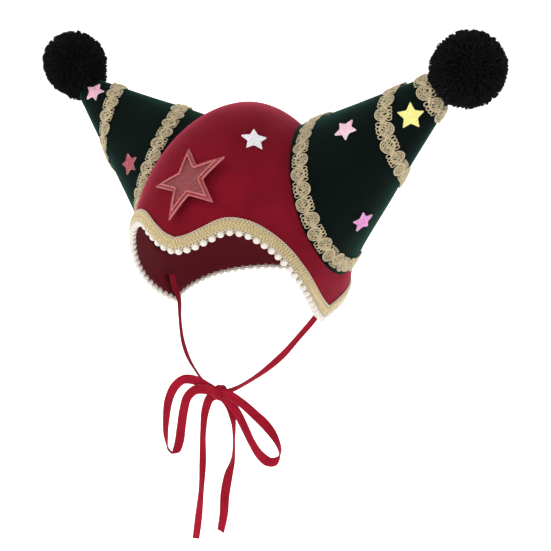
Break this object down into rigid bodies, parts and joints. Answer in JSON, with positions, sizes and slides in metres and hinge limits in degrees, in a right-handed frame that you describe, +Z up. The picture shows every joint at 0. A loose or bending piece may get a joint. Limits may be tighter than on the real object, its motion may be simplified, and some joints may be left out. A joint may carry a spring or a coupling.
{
  "type": "jester hat",
  "caption": "Soft velvet jester hat with hollow horns, pompoms, scroll braid, a pearl rim, glitter stars and a ribbon bow tied under the chin.",
  "frame": {"origin": "inside of the crown, where it rests on the top of the head", "axes": "+Z up, the face looks along -Y, and the wearer's left is +X"},
  "size_m": [0.42, 0.2044, 0.4099],
  "materials": {
    "velvet_red": "crimson velvet, paler where it is seen edge on",
    "velvet_green": "very dark green velvet with a green sheen",
    "scroll_gold": "pale gold scroll braid of wound cord",
    "braid_gold": "woven gold braid with pale beaded edges",
    "pearl": "off-white imitation pearl",
    "yarn_black": "matt black cut yarn",
    "glitter_red": "red glitter over foam",
    "glitter_red_edge": "lighter red glitter line",
    "glitter_silver": "silver-white glitter over foam",
    "glitter_pale_pink": "pale pink glitter over foam",
    "glitter_yellow": "yellow glitter over foam",
    "glitter_orchid": "orchid glitter over foam",
    "glitter_pink": "pink glitter over foam",
    "glitter_scarlet": "scarlet glitter over foam",
    "ribbon_red": "narrow crimson velvet ribbon"
  },
  "bodies": {
    "root": {"hood": "velvet_red", "horn_left": "velvet_green", "horn_right": "velvet_green", "horn_scroll_left": "scroll_gold", "horn_scroll_right": "scroll_gold", "pompom_left": "yarn_black", "pompom_right": "yarn_black", "rim_braid": "braid_gold", "rim_pearls": "pearl", "big_star": "glitter_red", "big_star_edge": "glitter_red_edge", "star_silver": "glitter_silver", "star_pale_pink": "glitter_pale_pink", "star_yellow": "glitter_yellow", "star_orchid": "glitter_orchid", "star_pink": "glitter_pink", "star_red": "glitter_scarlet", "bow_knot": "ribbon_red", "chin_strap_left": "ribbon_red", "chin_strap_right": "ribbon_red", "bow_loop_left": "ribbon_red", "bow_loop_right": "ribbon_red", "bow_tail_left": "ribbon_red", "bow_tail_right": "ribbon_red"}
  },
  "joints": []
}
